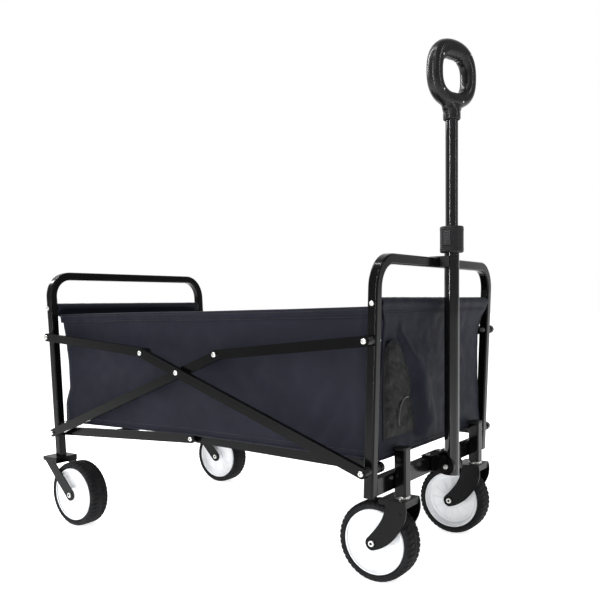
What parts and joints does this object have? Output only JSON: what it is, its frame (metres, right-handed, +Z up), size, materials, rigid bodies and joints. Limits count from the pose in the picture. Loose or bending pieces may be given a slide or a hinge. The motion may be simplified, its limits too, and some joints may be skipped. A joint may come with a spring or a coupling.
{
  "type": "folding camp wagon",
  "caption": "Folding fabric camp wagon: square-tube hoops joined by scissor bars, fabric basket, fixed rear wheels, swivelling front casters, telescoping pull handle.",
  "frame": {"origin": "bottom centre of the wagon's box, on the ground under its middle", "axes": "+X towards the pulling handle, +Z up. Left and right in the names are those of someone who stands at the handle facing the wagon, so left is -Y and right is +Y."},
  "size_m": [0.9094, 0.5502, 0.957],
  "materials": {
    "frame_steel": "black powder coat, satin with a fine orange peel",
    "bar_steel": "black powder coat, satin",
    "pressed_steel": "black paint on pressed steel, satin",
    "zinc_hardware": "bright zinc plating",
    "black_plastic": "moulded, fine grain",
    "button_plastic": "moulded, smooth",
    "grip_plastic": "moulded, fine grain",
    "white_plastic": "moulded white plastic, light sheen",
    "tyre_rubber": "matt rubber with a blocky edge",
    "basket_fabric": "black coated polyester, fine plain weave",
    "handle_tube": "black powder coat, satin",
    "handle_inner_tube": "black powder coat, satin"
  },
  "bodies": {
    "rear_frame": {"rear_hoop": "frame_steel", "rear_hem_tube": "frame_steel", "rear_hem_sleeve": "basket_fabric", "basket_rear_panel": "basket_fabric", "rear_pivot_bolts": "zinc_hardware", "rear_rivets": "zinc_hardware", "rear_forks": "pressed_steel", "rear_axles": "zinc_hardware", "basket_floor": "basket_fabric", "basket_left_side": "basket_fabric", "basket_right_side": "basket_fabric"},
    "front_frame": {"front_hoop": "frame_steel", "front_hem_tube": "frame_steel", "front_hem_sleeve": "basket_fabric", "basket_front_panel": "basket_fabric", "front_pivot_bolts": "zinc_hardware", "front_pivot_spacers": "black_plastic", "front_rivets": "zinc_hardware", "front_beam": "frame_steel", "caster_stems": "frame_steel", "stem_caps": "black_plastic", "handle_bracket": "pressed_steel", "handle_pivot_bolt": "zinc_hardware", "handle_clip": "black_plastic"},
    "long_bar_rear_left": {"long_bar_rear_left": "bar_steel"},
    "long_bar_rear_right": {"long_bar_rear_right": "bar_steel"},
    "long_bar_front_left": {"long_bar_front_left": "bar_steel", "cross_bolts_left": "zinc_hardware"},
    "long_bar_front_right": {"long_bar_front_right": "bar_steel", "cross_bolts_right": "zinc_hardware"},
    "link_rear_left": {"link_rear_left": "bar_steel"},
    "link_rear_right": {"link_rear_right": "bar_steel"},
    "link_front_left": {"link_front_left": "bar_steel", "link_bolt_left": "zinc_hardware"},
    "link_front_right": {"link_front_right": "bar_steel", "link_bolt_right": "zinc_hardware"},
    "floor_rear": {"floor_frame_rear": "bar_steel", "floor_hinge_pins": "zinc_hardware"},
    "floor_front": {"floor_frame_front": "bar_steel"},
    "wheel_rear_left": {"tyre_rear_left": "tyre_rubber", "wheel_disc_rear_left": "white_plastic"},
    "wheel_rear_right": {"tyre_rear_right": "tyre_rubber", "wheel_disc_rear_right": "white_plastic"},
    "caster_left": {"caster_fork_left": "pressed_steel", "caster_kingpin_left": "zinc_hardware", "caster_axle_left": "zinc_hardware"},
    "caster_right": {"caster_fork_right": "pressed_steel", "caster_kingpin_right": "zinc_hardware", "caster_axle_right": "zinc_hardware"},
    "wheel_front_left": {"tyre_front_left": "tyre_rubber", "wheel_disc_front_left": "white_plastic"},
    "wheel_front_right": {"tyre_front_right": "tyre_rubber", "wheel_disc_front_right": "white_plastic"},
    "handle": {"handle_lower_tube": "handle_tube", "handle_foot": "black_plastic", "lock_collar": "black_plastic"},
    "handle_inner": {"handle_upper_tube": "handle_inner_tube", "grip": "grip_plastic"},
    "lock_button": {"lock_button": "button_plastic"}
  },
  "joints": [
    {"name": "fold", "type": "hinge", "parent": "rear_frame", "child": "long_bar_rear_left", "pos_m": [-0.42758, -0.255, 0.204], "axis": [0, -1, 0], "range_deg": [0, 59], "deforming": ["basket_floor", "basket_left_side", "basket_right_side"]},
    {"name": "fold_right", "type": "hinge", "parent": "rear_frame", "child": "long_bar_rear_right", "pos_m": [-0.42758, 0.255, 0.204], "axis": [0, -1, 0], "range_deg": [0, 59.05]},
    {"name": "cross_pivot_left", "type": "hinge", "parent": "long_bar_rear_left", "child": "long_bar_front_left", "pos_m": [-0.01858, -0.2605, 0.359], "axis": [0, -1, 0], "range_deg": [-114.05, 0]},
    {"name": "cross_pivot_right", "type": "hinge", "parent": "long_bar_rear_right", "child": "long_bar_front_right", "pos_m": [-0.01858, 0.2605, 0.359], "axis": [0, -1, 0], "range_deg": [-114.05, 0]},
    {"name": "front_lower_pivot", "type": "hinge", "parent": "long_bar_front_left", "child": "front_frame", "pos_m": [0.39042, -0.255, 0.213], "axis": [0, -1, 0], "range_deg": [0, 59.05]},
    {"name": "rear_link_pivot_left", "type": "hinge", "parent": "rear_frame", "child": "link_rear_left", "pos_m": [-0.43515, -0.255, 0.42087], "axis": [0, -1, 0], "range_deg": [0, 84.47]},
    {"name": "front_link_pivot_left", "type": "hinge", "parent": "front_frame", "child": "link_front_left", "pos_m": [0.39787, -0.266, 0.42637], "axis": [0, -1, 0], "range_deg": [-83.43, 0]},
    {"name": "rear_link_pivot_right", "type": "hinge", "parent": "rear_frame", "child": "link_rear_right", "pos_m": [-0.43515, 0.255, 0.42087], "axis": [0, -1, 0], "range_deg": [0, 84.47]},
    {"name": "front_link_pivot_right", "type": "hinge", "parent": "front_frame", "child": "link_front_right", "pos_m": [0.39787, 0.266, 0.42637], "axis": [0, -1, 0], "range_deg": [-83.43, 0]},
    {"name": "floor_rear_pivot", "type": "hinge", "parent": "rear_frame", "child": "floor_rear", "pos_m": [-0.42758, 0, 0.204], "axis": [0, -1, 0], "range_deg": [0, 80.4]},
    {"name": "floor_front_pivot", "type": "hinge", "parent": "front_frame", "child": "floor_front", "pos_m": [0.39042, 0, 0.213], "axis": [0, -1, 0], "range_deg": [-72.09, 0]},
    {"name": "rear_wheel_spin_left", "type": "hinge", "parent": "rear_frame", "child": "wheel_rear_left", "pos_m": [-0.36269, -0.24, 0.0715], "axis": [0, 1, 0], "continuous": true},
    {"name": "rear_wheel_spin_right", "type": "hinge", "parent": "rear_frame", "child": "wheel_rear_right", "pos_m": [-0.36269, 0.24, 0.0715], "axis": [0, 1, 0], "continuous": true},
    {"name": "caster_swivel_left", "type": "hinge", "parent": "front_frame", "child": "caster_left", "pos_m": [0.40842, -0.163, 0.155], "axis": [0, 0, 1], "continuous": true},
    {"name": "front_wheel_spin_left", "type": "hinge", "parent": "caster_left", "child": "wheel_front_left", "pos_m": [0.36242, -0.163, 0.0715], "axis": [0, 1, 0], "continuous": true},
    {"name": "caster_swivel_right", "type": "hinge", "parent": "front_frame", "child": "caster_right", "pos_m": [0.40842, 0.163, 0.155], "axis": [0, 0, 1], "continuous": true},
    {"name": "front_wheel_spin_right", "type": "hinge", "parent": "caster_right", "child": "wheel_front_right", "pos_m": [0.36242, 0.163, 0.0715], "axis": [0, 1, 0], "continuous": true},
    {"name": "handle_tilt", "type": "hinge", "parent": "front_frame", "child": "handle", "pos_m": [0.42442, 0, 0.181], "axis": [0, 1, 0], "range_deg": [0, 95]},
    {"name": "handle_telescope", "type": "slide", "parent": "handle", "child": "handle_inner", "axis": [0, 0, 1], "range_m": [-0.185, 0]},
    {"name": "lock_button_press", "type": "slide", "parent": "handle", "child": "lock_button", "axis": [0, 1, 0], "range_m": [0, 0.003], "stiffness_N_per_m": 600, "springref_m": -0.001}
  ],
  "couplings": [
    {"joint": "fold_right", "follows": "fold", "ratio": 1},
    {"joint": "cross_pivot_left", "follows": "fold", "ratio": -1.9322},
    {"joint": "cross_pivot_right", "follows": "fold", "ratio": -1.9322},
    {"joint": "front_lower_pivot", "follows": "fold", "ratio": 1},
    {"joint": "rear_link_pivot_left", "follows": "fold", "ratio": 1.4309},
    {"joint": "rear_link_pivot_right", "follows": "fold", "ratio": 1.4309},
    {"joint": "front_link_pivot_left", "follows": "fold", "ratio": -1.4132},
    {"joint": "front_link_pivot_right", "follows": "fold", "ratio": -1.4132},
    {"joint": "floor_rear_pivot", "follows": "fold", "ratio": 1.3619},
    {"joint": "floor_front_pivot", "follows": "fold", "ratio": -1.2211}
  ]
}
